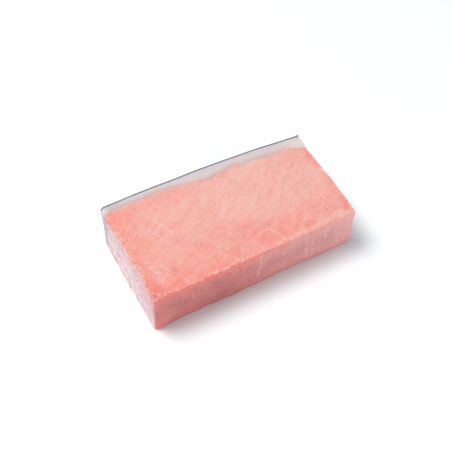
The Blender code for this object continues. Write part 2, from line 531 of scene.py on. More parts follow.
@dataclass(frozen=True)
class FleshFinish(Finish):
    """Raw fatty tuna flesh, cut half frozen: moist, slightly translucent, with a fuzzy grain of fibres.

    Fat runs through the muscle as threads thinner than a millimetre, so the eye sees pale peach with
    warmer salmon between, redder where the flesh has thawed, and frosty white where fat lies bare.
    """

    name: str = "raw_fatty_tuna_flesh_knife_cut"
    roughness: float = 0.46
    ior: float = 1.38
    pale: str = "#E4BAAF"
    salmon: str = "#E69D90"
    orange: str = "#E67D6D"
    pearl: str = "#F6BDB8"
    glow: str = "#FD857A"
    deep: str = "#DC6C64"
    ember: str = "#D8564C"
    bloom: str = "#EDC6C2"
    frost: str = "#DCC6CB"
    rose: str = "#D8959E"
    fat: str = "#FDF0EF"
    # tint of the seam share: real dark marks, painted shadow by the fat's step and painted shade on the front
    shade: str = "#B0666A"
    mauve: str = "#D58A8E"
    scratches: Sequence[tuple[Sequence[float], float, float]] = (
        ((26.0, 3.6, 12.0), 43, 0.45), ((30.0, 5.0, 12.0), 28, 0.35), ((12.0, 4.5, 9.0), -35, 0.28))
    scratch_half: float = 0.022

    def material(self) -> bpy.types.Material:
        """Lays the tints one over another.

        Pale, salmon and orange follow richness and grain. Over them come the warm tints of the front, frost
        with fat and rose streaks, the front's grain, knife scratches, a dark tint that is partly real marks
        and partly painted shadow and shade, and last bare fat. A scratch is where a long turned noise passes
        its middle value.

        Returns:
            The material.
        """
        nodes = self.scattering(0.5, (1.0, 0.28, 0.22), 3.2)
        grain = nodes.pattern((0.8, 0.8, 0.8), detail=3)
        mottle = nodes.pattern((6.0, 4.5, 4.5), 40, 4)
        fibre = nodes.pattern((7.0, 0.9, 3.0), 40)
        cross = nodes.pattern((5.0, 1.0, 2.5), -25)
        upright = nodes.pattern((0.7, 4.0, 5.0))
        lengthwise = nodes.pattern((3.0, 8.0, 0.7), detail=3)
        drawn = nodes.pattern((1.2, 3.6, 0.8), detail=3)
        rich = nodes.value("richness")
        for source, amount in ((grain, 0.38), (mottle, 0.13), (fibre, 0.1), (cross, 0.06)):
            rich = nodes.math("ADD", rich, nodes.spread(source, -amount, amount), clamp=False)
        coats = [(nodes.spread(rich, 0, 1, 0.0, 0.5), self.salmon),
                 (nodes.spread(rich, 0, 1, 0.5, 1.0), self.orange),
                 ("pearl", self.pearl), ("glow", self.glow), ("ember", self.ember), ("frost", self.frost)]
        for where, source, end, most, tint in (
                ("frost", lengthwise, 0.7, 1.0, self.fat), ("frost", lengthwise, 0.3, 1.0, self.rose),
                ("frost", drawn, 0.6, 1.0, self.fat), ("frost", drawn, 0.37, 1.0, self.rose),
                ("front", upright, 0.75, 0.6, self.deep), ("front", upright, 0.25, 0.6, self.pearl),
                ("front", grain, 0.62, 1.3, self.bloom), ("front", grain, 0.38, 1.3, self.deep)):
            share = nodes.math("MULTIPLY", nodes.value(where), nodes.spread(source, 0.0, most, 0.5, end))
            coats.append((share, tint))
        for size, turn, most in self.scratches:
            away = nodes.math("ADD", nodes.pattern(size, turn, 1.0), -0.5, clamp=False)
            away = nodes.math("ABSOLUTE", away, clamp=False)
            line = nodes.spread(away, most, 0.0, 0.0, self.scratch_half)
            coats.append((nodes.math("MULTIPLY", nodes.value("hatch"), line), self.mauve))
        flecks = nodes.math("MULTIPLY", nodes.value("bare_fat"), nodes.spread(grain, 0.35, 1.0, 0.45, 0.62))
        # the seam share lays painted shadow and shade as well as real dark marks
        coats += [("mauve", self.mauve), ("seam", self.shade), (flecks, self.fat)]
        height = nodes.math("ADD", nodes.spread(grain, 0, 0.6), nodes.spread(fibre, 0, 0.4))
        return nodes.fed(Base_Color=nodes.tinted(self.pale, *coats),
                         Normal=nodes.raised(height, strength=0.6, depth=0.12),
                         Roughness=nodes.spread(grain, self.roughness - 0.08, self.roughness + 0.14))


@dataclass(frozen=True)
class FatFinish(Finish):
    """White fat under the skin: dense, waxy and translucent, cool by the skin and warmer by the flesh."""

    name: str = "white_subcutaneous_fat"
    roughness: float = 0.4
    ior: float = 1.45
    cool: str = "#C8C0C5"
    middle: str = "#D2C2BE"
    warm: str = "#D4B4AF"
    blush: str = "#CAA19E"
    # tint of the seam share: painted shadow at the step by the flesh, and darker fat beside the skin
    shade: str = "#998F9F"
    milk: str = "#E6DCD2"
    amber: str = "#DDA566"
    speckle: float = 0.27

    def material(self) -> bpy.types.Material:
        """Blends warm, middle and cool by depth, then lays pink, painted shadow at the step by the flesh and
        darker fat by the skin and toward the left, milk, amber and specks over.
        """
        nodes = self.scattering(0.3, (1.0, 0.75, 0.65), 1.8)
        grain = nodes.pattern((9.0, 0.8, 0.8), 0, 3)
        cloud = nodes.pattern((12.0, 3.0, 5.0), 0, 3)
        speck = nodes.pattern((0.9, 0.9, 0.9), detail=3)
        depth = nodes.math("ADD", nodes.value("depth"), nodes.spread(cloud, -0.22, 0.22))
        colour = nodes.tinted(
            self.warm, (nodes.spread(depth, 0, 1, 0.0, 0.45), self.middle),
            (nodes.spread(depth, 0, 1, 0.45, 1.0), self.cool), ("blush", self.blush), ("seam", self.shade),
            ("cream", self.milk), ("amber", self.amber),
            (nodes.spread(speck, 0.0, self.speckle, 0.52, 0.75), self.milk),
            (nodes.spread(speck, 0.0, self.speckle, 0.48, 0.25), self.blush))
        return nodes.fed(Base_Color=colour, Normal=nodes.raised(grain, strength=0.4, depth=0.08))


@dataclass(frozen=True)
class SkinFinish(Finish):
    """Thin wet tuna skin: slate at its upper rim, silvery below where scales hold bright platelets."""

    name: str = "wet_tuna_skin"
    roughness: float = 0.3
    ior: float = 1.42
    slate: str = "#675E67"
    silver: str = "#A9ABB4"
    scale_rim: str = "#7C7F8A"
    cut: str = "#3A3644"

    def material(self) -> bpy.types.Material:
        """Silver with darker lines round the scales, slate by the rim value, near black at the cut end."""
        nodes = self.shading(Coat_Weight=0.25, Coat_Roughness=0.12)
        cloud = nodes.pattern((14.0, 2.0, 5.0), 0, 3)
        rim = nodes.math("ADD", nodes.value("rim"), nodes.spread(cloud, -0.3, 0.15))
        return nodes.fed(Base_Color=nodes.tinted(
            self.silver, ("scale_edge", self.scale_rim), (rim, self.slate), ("cut_end", self.cut)))


@dataclass(frozen=True)
class FlakeFinish(Finish):
    """Bare shreds of fat and connective tissue: milky, a little moist, lighter than the flesh they lie on."""

    name: str = "milky_fat_shreds"
    roughness: float = 0.42
    ior: float = 1.42
    milk: str = "#F5DBD3"
    tint: str = "#ECBAAE"

    def material(self) -> bpy.types.Material:
        """Milky white with pinker clouds, 1.5 mm across."""
        nodes = self.scattering(0.4, (1.0, 0.7, 0.6), 0.8)
        cloud = nodes.pattern((1.5, 1.5, 1.5), 0, 2)
        return nodes.fed(Base_Color=nodes.tinted(self.milk, (cloud, self.tint)))


@dataclass(frozen=True)
class FloorFinish(Finish):
    """Matt white studio board, which the eye reads as plain white paper."""

    name: str = "matt_white_board"
    roughness: float = 0.7
    ior: float = 1.45
    white: str = "#F0F5F6"

    def material(self) -> bpy.types.Material:
        """Even white with no pattern, because none shows at this distance."""
        return self.shading(Specular_IOR_Level=0.1, Base_Color=linear(self.white)).material


@dataclass
class FleshBlock:
    """The marbled flesh: cut top, front, ends and foot, with knife grooves, fibres and frayed edges.

    Its tables hold what the photo shows, in mm: x and y on the top, x and z on the front, y and z on the
    left end.
    """

    form: BlockForm
    width: float = 78.0
    pitch: float = 0.76
    margin: Sequence[float] = (0.0, 0.05, 0.2, 0.45, 0.8, 1.2, 1.7)
    cut_radius: float = 0.8
    worn_radius: float = 1.6
    left_wear: float = 0.45
    mottle_depth: float = 0.12
    fibre_depth: float = 0.07
    streak_depth: float = 0.06
    groove_depth: float = 0.12
    sinew_height: float = 0.06
    fray_depth: float = 0.14
    front_set_in: float = 0.06
    ends_set_in: float = 0.15
    rim_width: float = 2.2
    rim_height: float = 1.6
    grooves: Strokes = (
        (((-27, -10), (-15.5, -4), (-10, 0.5), (-3, 8), (4, 16), (11, 21.5), (19, 26.5), (27, 30.5)),
         0.6, 0.6),
        (((36.5, -12.5), (39, -8), (42.5, -3.5), (48, 4), (54, 10.5), (60, 15.5), (67, 20.5)), 0.55, 0.7),
        (((25, 6), (32, 16), (38, 24), (43, 30)), 0.5, 0.5),
        (((44, -14), (54, -5), (67, 7), (78, 16)), 0.5, 0.4), (((41, 19), (47, 26), (54, 31)), 0.5, 0.4),
        (((-67, 6), (-53, 11.5)), 0.6, 0.45), (((-61, 1), (-49, 6)), 0.6, 0.35),
        (((-41, -6), (-30, -3), (-18, 3)), 0.6, 0.45), (((-33, -15), (-22, -28)), 0.6, 0.35),
        (((59, -19), (53, -25)), 0.6, 0.4), (((79, -27), (73, -34)), 0.6, 0.4),
        (((-32, 30), (-24, 35)), 0.6, 0.35),
    )
    sinews: Strokes = (
        (((-51, 20), (-50.5, 11)), 0.6, 0.3), (((-46.5, 7), (-45, 3), (-44.5, -1)), 0.6, 0.4),
        (((8, -28), (18, -27), (22, -32), (24.5, -41)), 0.6, 0.3),
        (((-24, -27), (-18, -35), (-13.5, -43)), 0.5, 0.25),
        (((-64, -22), (-61, -26), (-56, -34), (-53, -43)), 0.5, 0.25), (((-80, 22), (-75, 31)), 0.6, 0.3),
        (((-78, 19), (-67, 28)), 0.6, 0.3), (((-76, 16), (-61, 27)), 0.6, 0.3),
        (((67, -21), (80, -14)), 0.6, 0.3),
    )
    torn: Strokes = ((((-76.4, -38.5), (-77, -40.5), (-78.9, -42.7), (-79, -44)), 0.6, 1.0),)
    rich_spots: Spots = (
        (-75, -36, 7, 13, 0.44), (-77, -43, 6, 4, 0.05), (-77, 5, 5, 25, 0.1), (-73, 33, 10, 6, 0.13),
        (79, 20, 4, 9, 0.26), (5, -6, 5, 4, 0.07), (76, -14, 4, 4, 0.08), (79, -35, 3, 6, 0.2),
        (12, -35, 7, 4, 0.2), (47, -37, 5, 2.5, 0.35), (58, -30, 2.5, 1.5, 0.3), (-25, -40, 4, 5, 0.2),
        (-58, -29, 3, 3, 0.35), (-66, 10, 12, 32, 0.15), (3, -17, 7, 3, 0.12), (21, -22, 4, 2.5, 0.25),
        (11, -26, 7, 3, 0.15), (-40, 34, 22, 4, 0.12), (30, 14, 8, 7, 0.06), (-30, -19, 24, 8, 0.12),
        (-45, -1, 8, 14, 0.06), (26, -38, 7, 3.5, 0.25), (4, -22, 18, 5, 0.08), (-20, -13, 38, 11, 0.05),
        (61, -20, 6, 5, 0.12), (36, -23, 6, 4, 0.12), (-14, -38, 4, 5, 0.15), (-68, 25, 8, 8, 0.14),
        (-40, 25, 8, 4, 0.08), (-76, 24, 4, 5, 0.08), (36, -22, 5, 4, 0.06), (-45, 21, 5, 6, 0.08),
        (-76, 18, 4, 5, 0.12), (-5, -6, 6, 5, 0.06), (-45, -22, 6, 4, 0.06),
    )
    pale_spots: Spots = (
        (24, 2, 34, 20, 0.12), (-52, 14, 8, 10, 0.11), (28, 31, 16, 5, 0.12), (58, 31, 16, 6, 0.12),
        (71, -38, 8, 3, 0.22), (74, 6, 5, 14, 0.12), (6, 24, 18, 8, 0.16), (60, 6, 20, 9, 0.1),
        (-69, -29, 3, 10, 0.2), (-38, -6, 20, 8, 0.08), (-65, 12, 8, 8, 0.1), (3, 12, 8, 6, 0.06),
        (76, -30, 6, 5, 0.1), (-76, -30, 4, 5, 0.12), (-33, 2, 6, 6, 0.06), (14, -25, 7, 5, 0.02),
        (0, -35, 9, 5, 0.12), (-55, 26, 6, 5, 0.12), (-75, -31, 4, 4, 0.14), (-72, -38, 5, 3, 0.12),
        (-72, -23, 7, 5, 0.1), (-60, 10, 7, 5, 0.08), (-25, -14, 6, 4, 0.1), (15, -6, 6, 4, 0.08),
        (40, 18, 7, 4, 0.08), (25, 26, 5, 4, 0.06), (55, -30, 5, 4, 0.08), (70, 2, 7, 5, 0.06),
        (35, -14, 6, 4, 0.07), (2, 10, 6, 4, 0.06), (-15, -30, 6, 4, 0.12), (-35, 34, 6, 3, 0.08),
        (28, 23, 8, 6, 0.07), (48, -8, 9, 6, 0.06), (-78, 4, 4, 6, 0.06), (-5, 27, 20, 8, 0.06),
        (-77, 8, 5, 7, 0.12), (-2, 10, 9, 5, 0.08), (-28, 9, 8, 5, 0.07), (-24, -38, 6, 4, 0.12),
        (-64, -22, 6, 4, 0.04), (-35, 11, 8, 5, 0.06),
    )
    front_streaks: Strokes = (
        (((4.5, 35), (3.4, 24), (1.6, 9)), 0.55, 0.8), (((8.5, 33), (7.4, 25), (6.2, 18)), 0.5, 0.6),
        (((11, 34), (10, 22)), 0.6, 0.2), (((23.6, 26.5), (22.8, 24.5)), 0.9, 0.8),
        (((42, 32), (42.5, 18)), 1.1, 0.3), (((43, 18), (44, 5)), 1.5, 0.5),
        (((48, 26), (48.6, 4)), 0.9, 0.45), (((57, 30), (59, 22)), 1.8, 0.35),
        (((59, 33), (60, 29)), 1.0, 0.3), (((69, 20), (69.5, 8)), 1.3, 0.3),
        (((75, 14), (76, 6)), 1.5, 0.3), (((52, 20), (53, 6)), 0.8, 0.25),
        (((-52, 27), (-51, 22)), 0.8, 0.3), (((-19, 31), (-18.5, 26)), 0.8, 0.2),
        (((-24, 6), (-19, 5)), 0.8, 0.35), (((24, 15), (26, 12)), 1.2, 0.25),
        (((24, 7), (26, 5)), 1.2, 0.3),
    )
    front_dulls: Spots = (
        (-32, 27, 7, 7, 0.3), (-25, 12, 8, 10, 0.35), (-66, 25, 6, 4, 0.2), (-57, 13, 6, 9, 0.2),
        (-42, 10, 7, 7, 0.25), (-70, 31, 8, 4, 0.06), (-27, 6, 16, 7, 0.3), (16, 20, 12, 6, 0.12),
        (6, 8, 14, 5, 0.1), (28, 12, 10, 6, 0.08), (60, 18, 8, 10, 0.12), (0, 10, 14, 6, 0.07),
        (-65, 14, 4, 4, 0.12), (-6, 26, 6, 5, 0.15), (-4, 11, 11, 6, 0.14), (38, 20, 6, 7, 0.15),
    )
    end_patches: Spots = (
        (25, 29, 6, 4, 0.6), (4, 24, 7, 4, 0.4), (15, 8, 6, 4, 0.5), (-31, 7, 4, 6, 0.5),
        (-12, 12, 6, 4, 0.4), (-8, 34, 8, 3, 0.1), (-36, 30, 5, 4, 0.4),
    )
    end_reds: Spots = (
        (-43.5, 24, 1.6, 6, 1.0), (-39.5, 27, 1.2, 3, 0.8), (-43, 34, 2, 3, 0.7), (-36, 12, 1.4, 2, 0.5),
        (-41, 37, 4, 4, 0.9), (32, 1.4, 5, 1.5, 0.9), (23, 1.4, 3, 1.3, 0.9), (10, 1.4, 3, 1.3, 0.8),
        (-1, 1.6, 4, 1.5, 0.8), (-15, 1.4, 1.5, 1.3, 0.9), (-23, 1.4, 1.5, 1.3, 0.9), (35, 36, 6, 3.5, 0.9),
        (24, 37.5, 8, 2, 0.7), (-7, 37.5, 4, 3, 0.9), (-28, 38, 10, 1.4, 0.5),
    )
    dull_spots: Spots = (
        (8, -20, 18, 5, 0.22), (-44, -6, 6, 5, 0.3), (-58, -29, 3, 3, 0.4), (-33, -13, 4, 3, 0.3),
        (-78, -44, 3, 2, 0.5), (-70, -44, 3, 1.5, 0.4), (-35, 36, 8, 3, 0.15), (58, -24, 5, 3, 0.2),
    )

    def radius(self, points: np.ndarray) -> np.ndarray:
        """Edge radius: none at the fat, the cut radius at the front, wider on its worn upper edge."""
        x, y, z = points.T
        wear = self.left_wear + (1 - self.left_wear) * ramp(x, -20, 50)
        wear = wear * ramp(np.abs(x), 78, 72) * (z > self.form.height / 2)
        return ramp(y, 10, -10) * (self.cut_radius + wear * (self.worn_radius - self.cut_radius))

    def rounded(self, points: np.ndarray, low: np.ndarray, high: np.ndarray) -> np.ndarray:
        """Rounds the box's edges: a point further than the radius from the inner box is drawn back to it."""
        radius = self.radius(points)[:, None]
        core = np.clip(points, low + radius, high - radius)
        out = points - core
        reach = np.linalg.norm(out, axis=1, keepdims=True)
        return core + out * np.where(reach > radius, radius / np.maximum(reach, 1e-9), 1)

    def shaped(self) -> Surface:
        """The smooth block: a box of crowded stations, rounded and then bent to the block's faces."""
        surface = straight_layer(self.form, self.width, self.pitch, self.margin)
        points = self.rounded(surface.points, surface.points.min(axis=0), surface.points.max(axis=0))
        surface.points = self.form.bent(points, self.width, self.form.front_face, self.form.fat_face)
        return surface

    def relief(self, at: "FleshMap") -> np.ndarray:
        """Relief in mm: mottle, with fibres and grooves on the top, upright streaks on the front and level
        ones on the ends. It fades out at the seam with the fat and at the foot."""
        mottle = self.mottle_depth * at.mottle
        top = mottle + self.fibre_depth * at.fibres - self.groove_depth * at.groove
        relief = (at.top * (top + self.sinew_height * at.sinew)
                  + at.front * (mottle + self.streak_depth * at.upright - self.front_set_in)
                  + at.ends * (mottle + 2 * self.streak_depth * at.lengthwise - self.ends_set_in)
                  + at.rim * self.fray_depth * at.fray * (1 - 0.8 * bump(at.front_gap, 0, 2)))
        return relief * ramp(at.seam_gap, 0.1, 1.2) * (1 - at.foot) * ramp(at.z, 0.05, 1.0)

    def richness(self, at: "FleshMap") -> np.ndarray:
        """How red the flesh is, from pale at 0 to orange at 1: a mix for each side, shared out by facing."""
        x, y, z, mottle = at.x, at.y, at.z, at.mottle
        rich = 0.33 + spotted(x, y, self.rich_spots) - spotted(x, y, self.pale_spots)
        rich = rich + 0.16 * ramp(x, -72, -80) + 0.16 * ramp(x, 76, 82) + 0.27 * ramp(y, -20, -38)
        rich = rich - 0.3 * ramp(y, -33, -40) * ramp(x, -25, 35)
        top = rich + 0.12 * mottle + 0.07 * at.fibres + 0.12 * at.bundles + 0.35 * at.fray * at.corner
        front = eased(x, ((-82, 1.0), (-50, 1.08), (-25, 1.12), (10, 0.84), (40, 0.66), (82, 0.6)))
        front = front + 0.16 * mottle + 0.12 * noise(at.points, (1.6, 2, 2), 21)
        front = front + 0.08 * at.streaked * at.upright + 0.15 * ramp(z, 4, 1)
        ends = 0.35 + 0.1 * at.lengthwise + 0.75 * at.red
        foot = 0.5 + 0.12 * mottle + 0.07 * at.fibres
        return (at.top * top + at.front * front + at.ends * ends + at.foot * foot) / at.sides

    def frost(self, at: "FleshMap") -> np.ndarray:
        """Frosty share: the left end but for its red marks, part of the right end and front, and a broken
        haze on the top at both front corners."""
        x, y, z = at.x, at.y, at.z
        front = eased(x, ((-82, 0.05), (-10, 0.06), (30, 0.12), (82, 0.14))) + 0.06 * at.upright
        front = at.front * (front + 0.12 * ramp(x, 52, 78) * ramp(z, 16, 4))
        left = at.left * (0.9 + 0.1 * at.lengthwise) * (1 - at.red)
        left = left * (1 - 0.2 * ramp(z, 29, 38)) * ramp(at.front_gap, -0.2, 1.4)
        right = at.right * (0.35 + 0.1 * at.lengthwise)
        haze = 0.3 * at.top * ramp(x, -74.0, -71.6) * bump(x, -70, 4.5) * bump(y, -29, 10)
        haze = haze * ramp(noise(at.points, 1.2, 61, 2), -0.4, 0.5)
        far_haze = 0.45 * at.top * bump(x, 77, 7) * bump(at.front_gap, 2.5, 2.2)
        far_haze = far_haze * ramp(noise(at.points, 1.4, 67, 2), -0.5, 0.5)
        return (front + left + right) / at.sides + (haze + far_haze)

    def mauve(self, at: "FleshMap") -> np.ndarray:
        """Dull violet share: grooves, dull spots on the top, and the left end toward its top and front."""
        y, z = at.y, at.z
        end = 0.3 * ramp(z, 18, 30) + 0.2 * ramp(y, -22, -40)
        end = end + 0.15 * bump(y, -30, 10) + 0.06 * bump(y, 27, 9)
        return 0.5 * at.groove + spotted(at.x, y, self.dull_spots) * at.top + at.left * end

    def seam(self, at: "FleshMap") -> np.ndarray:
        """Dark share: painted shadow on the top along the fat's seam near its step, dull spots on the front,
        painted shade in a band across the front's middle height, red marks at the foot of the left end, and
        one speck on the top."""
        x, y, z = at.x, at.y, at.z
        # painted shade: the front darker about its middle height, less so toward the right end
        band = 0.2 * bump(z, 21, 9) * (1 - 0.4 * ramp(x, 10, 60) - 0.5 * ramp(x, 60, 74))
        speck = 0.9 * at.top * bump(x, 25.5, 0.45) * bump(y, 0.3, 0.45)
        # painted shadow on the top along the seam with the fat, around its step near x = 5 mm
        return (0.3 * at.top * bump(at.seam_gap, 0, 1.2) * bump(x, 5, 14)
                + at.front * (spotted(x, z, self.front_dulls) + band) + 0.4 * at.red * ramp(z, 6, 2) + speck)

    def ember(self, at: "FleshMap") -> np.ndarray:
        """Deep red share: the frayed front left corner, its torn line, the red marks by it, and the front."""
        x, y, z = at.x, at.y, at.z
        torn = stroked(at.flat, self.torn) * at.top
        corner = 0.45 * at.corner * ramp(at.fray, -0.05, -0.4) + torn * (1 - at.fray)
        front = 0.1 * ramp(x, 45, 0) + 0.42 * ramp(x, 0, -30) + 0.1 * bump(x, 64, 6)
        return corner + 0.6 * at.red * ramp(y, -30, -36) + at.front * bump(z, 22, 14) * front

    def glow(self, at: "FleshMap") -> np.ndarray:
        """Warm light that comes through the front face, under its upper edge and at its left edge."""
        under_edge = bump(at.z, 36.2, 2.4) * ramp(at.x, 70, -10) * (1 - 0.6 * ramp(at.x, -40, -72))
        return at.front * (under_edge + 0.9 * bump(at.x, -82, 9) + 0.12)

    def bare_fat(self, at: "FleshMap") -> np.ndarray:
        """White share: sinews, frayed rims, front streaks, patches on the left end and shreds by the seam."""
        streaks = stroked(np.stack([at.x, at.z], axis=1), self.front_streaks) * at.front
        patches = np.clip(spotted(at.y, at.z, self.end_patches) * (1 + 0.8 * at.lengthwise), 0, 1) * at.left
        bare = 0.7 * at.sinew + 0.9 * at.rim * at.top * ramp(at.fray, 0.15, 0.5)
        bare = bare + 0.35 * at.left * ramp(at.lengthwise, 0.1, 0.6)
        bare = bare + 0.2 * at.front * at.streaked * ramp(at.upright, 0.3, 0.7) + 0.7 * streaks
        return (bare + 0.8 * patches
                + 0.3 * at.top * ramp(at.seam_gap, 1.6, 0.2) * ramp(at.fray, -0.5, 0.5))

    def build(self) -> Surface:
        """Adds relief along the normals of the smooth block, and the values that its finish reads.

        Returns:
            The finished surface.
        """
        surface = self.shaped()
        at = FleshMap(self, surface)
        surface.points = at.points + at.normals * self.relief(at)[:, None]
        pearl = eased(at.x, ((-82, 0.1), (-50, 0.0), (-20, 0.05), (10, 0.25), (40, 0.3), (82, 0.7)))
        pearl = at.front * (pearl + 0.1 * at.mottle + 0.1 * at.upright) * ramp(at.z, -60, 30)
        hatch = ramp(noise(at.points, 17, 19), -0.5, 0.3) * (0.55 + 0.45 * ramp(at.x, -10, 30)) * at.top
        front = (0.5 - 0.04 * at.streaked) * at.front * (1 - 0.6 * ramp(at.z, 32, 35)) + 0.25 * at.corner
        surface.values["richness"] = self.richness(at)
        surface.carry(frost=self.frost(at), mauve=self.mauve(at), seam=self.seam(at), ember=self.ember(at),
                      glow=self.glow(at), bare_fat=self.bare_fat(at), pearl=pearl, hatch=hatch, front=front)
        return surface


class FleshMap:
    """Place, facing, gaps to the edges and noises at every point of the smooth block."""

    def __init__(self, block: FleshBlock, surface: Surface) -> None:
        """Works them all out, in mm and as shares from 0 to 1; the noises run from about -1 to 1.

        Args:
            block: The block's sizes and tables.
            surface: The smooth block.
        """
        form, points, normals = block.form, surface.points, surface.normals()
        x, y, z = points.T
        self.points, self.normals, self.flat = points, normals, np.stack([x, y], axis=1)
        self.x, self.y, self.z = x, y, z
        self.right, self.left = facing(normals[:, 0]), facing(-normals[:, 0])
        self.top, self.foot = facing(normals[:, 2]), facing(-normals[:, 2])
        self.front = facing(-normals[:, 1])
        self.ends = np.maximum(self.left, self.right)
        self.sides = self.top + self.front + self.ends + self.foot + 1e-6

        self.seam_gap = form.fat_face(x, z) - y
        self.front_gap = y - form.front_face(x, z)
        edge_gap = np.minimum.reduce([x - form.left_face(y, z), form.right_face(y, z) - x, self.front_gap])
        self.rim = (np.exp(-np.clip(edge_gap, 0, None) / block.rim_width) * self.top
                    + np.exp(-(form.height - z) / block.rim_height) * (1 - self.top))
        self.corner = bump(x, -80, 9) * bump(y, -45, 8) * self.top
        self.streaked = ramp(x, -30, 30)

        self.fibres = noise(turned(points, 25 + 20 * ramp(x, -40, 20)), (13, 1.5, 6), 3, 2)
        self.bundles = noise(turned(points, 30 + 13 * ramp(x, -30, 25)), (24, 4.2, 9), 17, 2)
        self.mottle = noise(points, (7, 5, 5), 5, 3)
        self.upright = noise(points, (1.6, 4, 12), 7, 2)
        self.lengthwise = noise(points, (4, 11, 1.5), 9, 2)
        self.fray = noise(points, 1.7, 11, 2)
        self.groove = stroked(self.flat + 0.5 * self.mottle[:, None], block.grooves) * self.top
        self.sinew = stroked(self.flat + 0.4 * self.mottle[:, None], block.sinews) * self.top
        red = spotted(y, z, block.end_reds) + 0.4 * ramp(z, 2.0, 0.5)
        self.red = np.clip(red * (1 + 0.8 * self.fray), 0, 1) * self.left


@dataclass
class FatLayer:
    """The band of white fat between the flesh and the skin."""

    form: BlockForm
    width: float = 8.0
    pitch: float = 0.8
    margin: Sequence[float] = (0.0, 0.05, 0.3, 0.8)
    grain_depth: float = 0.08
    mottle_depth: float = 0.1
    blush: Stations = ((-82, 0.3), (-70, 0.55), (-50, 0.9), (-30, 0.6), (-10, 0.08), (6, 0.0), (28, 0.6),
                       (50, 0.6), (66, 0.25), (82, 0.0))

    def build(self) -> Surface:
        """A box of crowded stations bent between the two seams, with faint relief along its length.

        Returns:
            The finished surface.
        """
        surface = straight_layer(self.form, self.width, self.pitch, self.margin)
        share = surface.points[:, 1] / self.width + 0.5
        points = self.form.bent(surface.points, self.width, self.form.fat_face, self.form.skin_back)
        surface.points = points
        x, y, z = points.T
        grain = noise(points, (14, 1.3, 6), 13, 2)
        mottle = noise(points, (8, 4, 5), 15, 3)
        seams = ramp(share, 0.02, 0.15) * ramp(share, 0.99, 0.9)
        relief = (self.grain_depth * grain + self.mottle_depth * mottle) * seams * ramp(z, 0.05, 1.0)
        surface.points = points + surface.normals() * relief[:, None]

        blush = ramp(share, 0.55, 0.02) * eased(x, self.blush) * (1 + 0.3 * mottle + 0.2 * grain)
        beside_skin = 0.3 * ramp(share, 0.9, 1.0) + 0.2 * ramp(x, -52, -72)
        beside_skin = beside_skin + 0.6 * ramp(share, 0.86, 1.0) * ramp(x, -81.2, -82.0) * ramp(z, 38, 34)
        # seam: painted shadow at the step by the flesh near x = 5 mm, plus darker fat beside the skin and
        # toward the left end
        surface.carry(
            depth=share + 0.12 * mottle + 0.1 * grain, blush=blush,
            seam=0.38 * bump(x, 5, 3) * bump(share, 0.05, 0.15) + beside_skin,
            cream=0.4 * ramp(x, 62, 80) * ramp(share, 1.0, 0.6) + 0.5 * ramp(x, -76, -81) * ramp(z, 32, 38),
            amber=0.8 * bump(x, -37.5, 1.2) * bump(y, 43.2, 0.7) * ramp(z, 37, 38))
        return surface


@dataclass
class SkinLayer:
    """The thin skin with its fine scales, a little proud of the fat and turned up at its right tip."""

    form: BlockForm
    pitch: float = 0.62
    margin: Sequence[float] = (0.0, 0.1, 0.3, 0.6)
    foot: float = 0.6
    proud: float = 0.15
    tip_rise: float = 0.72
    set_in: float = 0.12
    scale_pitch: float = 2.6
    scale_height: float = 0.08

    def scales(self, x: np.ndarray, z: np.ndarray) -> np.ndarray:
        """Height of the scales: a saw-tooth along x in every row, rounded across it and set off by half a
        scale from row to row, in rows that wander a little."""
        spot = np.stack([x, 0 * x, z], axis=1)
        x, z = x + 0.9 * noise(spot, 7, 71, 2), z + 0.7 * noise(spot, 7, 73, 2)
        row = z / (0.6 * self.scale_pitch)
        across = row - np.floor(row) - 0.5
        along = (x / self.scale_pitch + 0.5 * (np.floor(row) % 2) + 1.2 * across**2) % 1.0
        return along * (1 - 2 * across**2)

    def build(self) -> Surface:
        """A box of crowded stations bent between the seam and the outer face, with its upper edge raised.

        Returns:
            The finished surface.
        """
        form, width = self.form, self.form.skin_thickness
        surface = box_surface([crowded(-form.length / 2, form.length / 2, self.pitch, self.margin),
                               np.linspace(-width / 2, width / 2, 4),
                               crowded(self.foot, form.height, self.pitch, self.margin)])
        share = surface.points[:, 1] / width + 0.5
        x, y, z = form.bent(surface.points, width, form.skin_back, form.skin_face).T
        rise = (self.proud + self.tip_rise * bump(x, form.length / 2, 2)) * form.lifted(z) ** 30
        outer = (share > 0.99) * ramp(z, self.foot, self.foot + 1) * ramp(z, form.height, form.height - 1)
        scales = self.scales(x, z)
        y = y + rise * form.lip * form.lip_power / form.height - self.scale_height * (1 - scales) * outer
        surface.points = np.stack([x, y - self.set_in, z + rise], axis=1)

        rim = np.clip(ramp(z, 24, 38) + ramp(share, 0.9, 0.6) * ramp(z, 36, 38), 0, 1) * ramp(x, -83, -81.5)
        surface.values["rim"] = np.maximum(rim, 1.2 * ramp(x, -81.2, -82.0)) * (1 - 0.35 * ramp(x, 77, 81))
        cloud = 0.6 + 0.4 * noise(surface.points, 11, 79, 2)
        surface.carry(cut_end=ramp(x, -81.0, -81.7) * ramp(z, 38.5, 33),
                      scale_edge=ramp(scales, 0.25, 0.0) * outer * cloud)
        return surface


